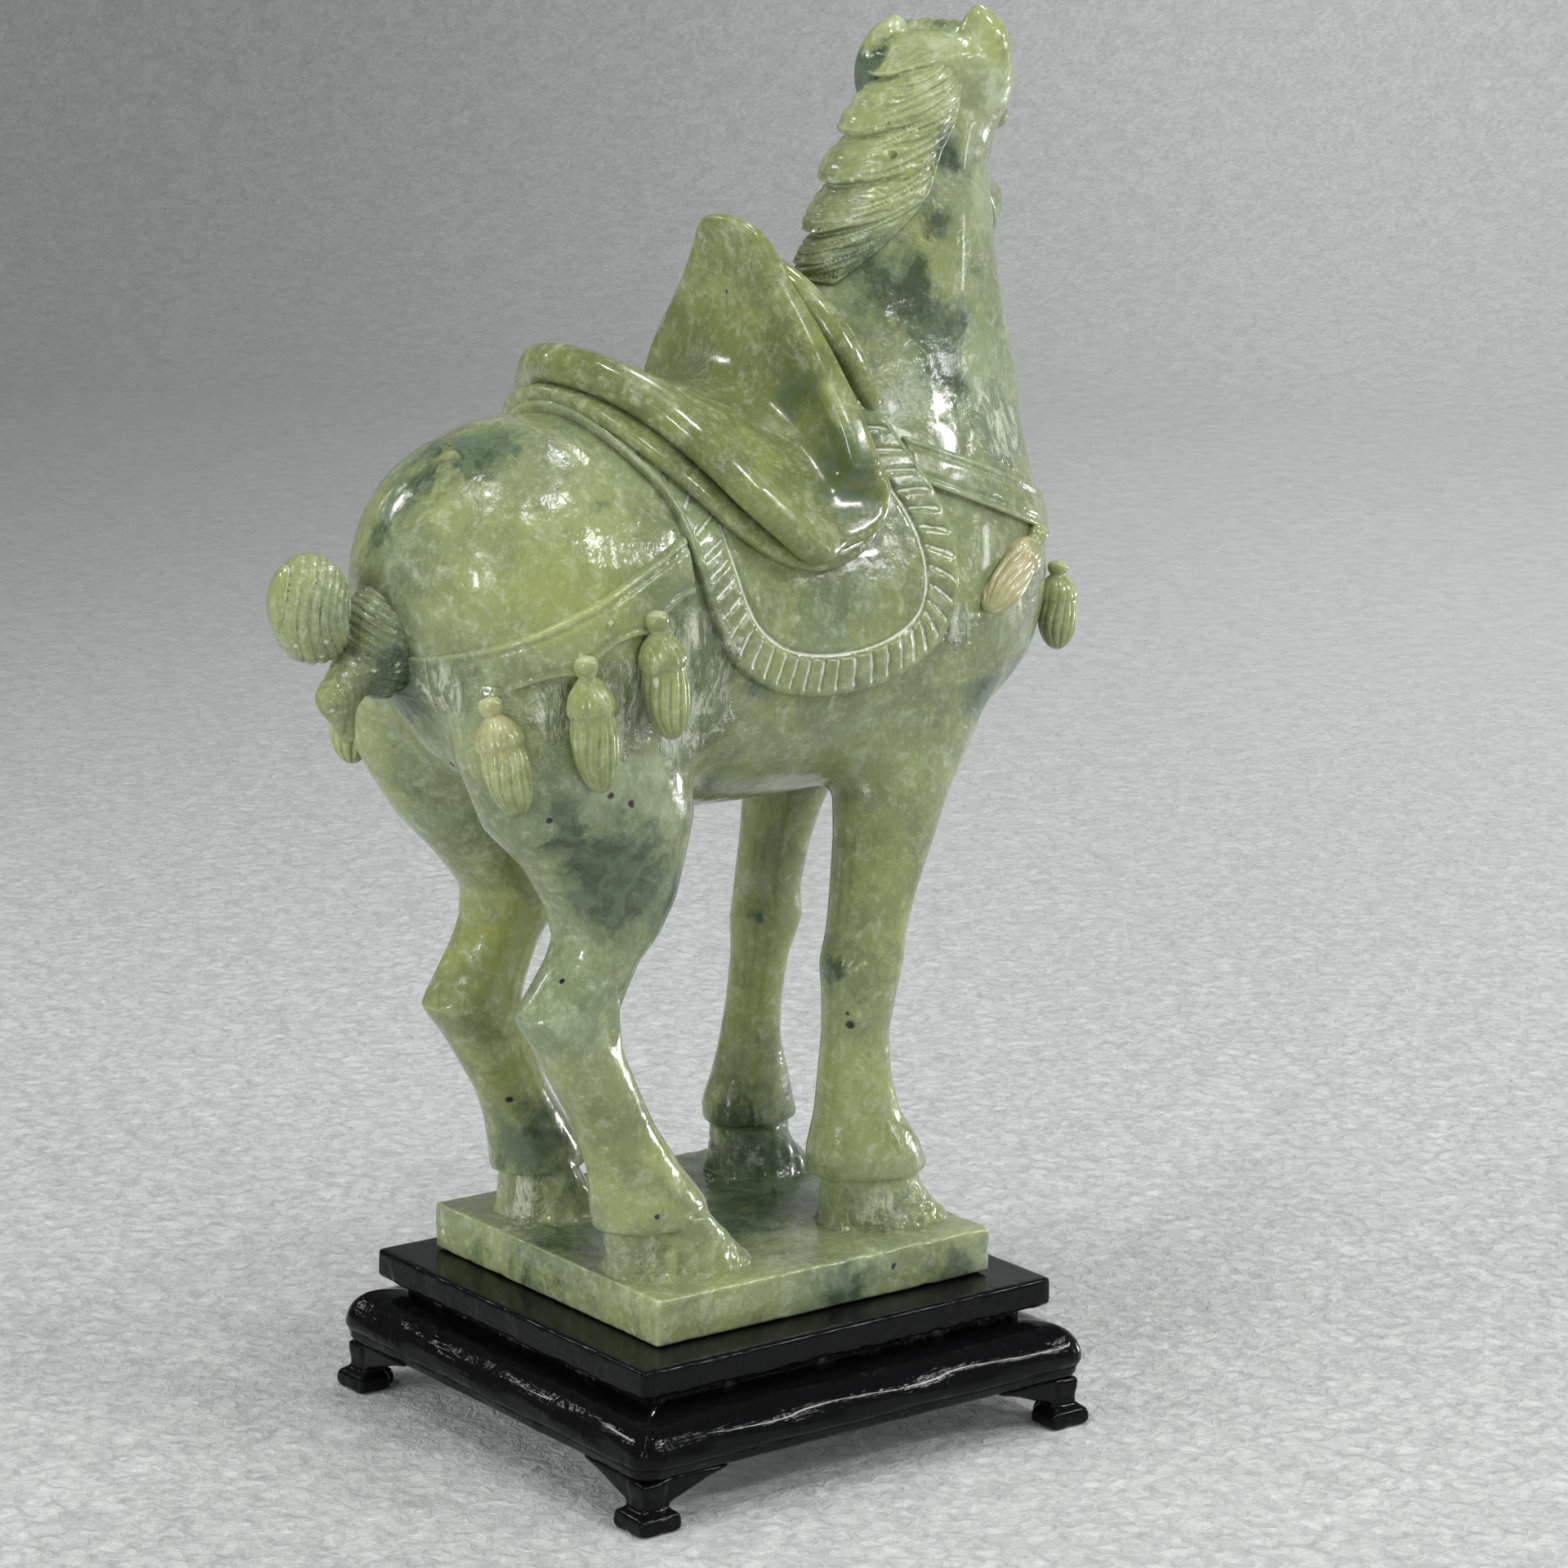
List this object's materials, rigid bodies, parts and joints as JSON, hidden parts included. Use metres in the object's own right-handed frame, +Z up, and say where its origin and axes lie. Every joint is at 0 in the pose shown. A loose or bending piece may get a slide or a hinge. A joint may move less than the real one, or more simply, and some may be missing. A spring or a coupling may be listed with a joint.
{
  "type": "carved jade horse figurine",
  "caption": "Carved green jade horse with saddle, tasselled harness and integral plinth, standing on a black lacquered wood stand with bracket feet.",
  "frame": {"origin": "centre of the overall bounding box in plan, on the surface the stand's feet rest on", "axes": "+X the way the horse stands, +Y the horse's left, +Z up"},
  "size_m": [0.2412, 0.1348, 0.3566],
  "materials": {
    "jade": "high wax polish, cloudy yellow-green with grey-green and dark patches",
    "saddle_jade": "high wax polish, clean yellow-green",
    "tassel_jade": "polished, brownish yellow",
    "lacquer": "black gloss lacquer with brush marks"
  },
  "bodies": {
    "stand": {"top_board": "lacquer", "waist_board": "lacquer", "front_rail": "lacquer", "back_rail": "lacquer", "left_rail": "lacquer", "right_rail": "lacquer", "front_left_foot": "lacquer", "front_right_foot": "lacquer", "back_left_foot": "lacquer", "back_right_foot": "lacquer"},
    "carving": {"plinth": "jade", "torso": "jade", "neck": "jade", "head": "jade", "left_ear": "jade", "right_ear": "jade", "forelock": "jade", "mane": "jade", "tail": "jade", "right_hind_leg": "jade", "left_hind_leg": "jade", "right_fore_leg": "jade", "left_fore_leg": "jade", "right_hind_hoof": "jade", "left_hind_hoof": "jade", "right_fore_hoof": "jade", "left_fore_hoof": "jade", "saddle": "saddle_jade", "saddle_pad": "saddle_jade", "saddle_blanket": "jade", "breast_strap": "jade", "breast_tassels": "tassel_jade", "rump_strap": "jade", "rump_tassels": "tassel_jade"}
  },
  "joints": [
    {"name": "carving_lift", "type": "slide", "parent": "stand", "child": "carving", "axis": [0, 0, 1], "range_m": [0, 0.06]}
  ]
}
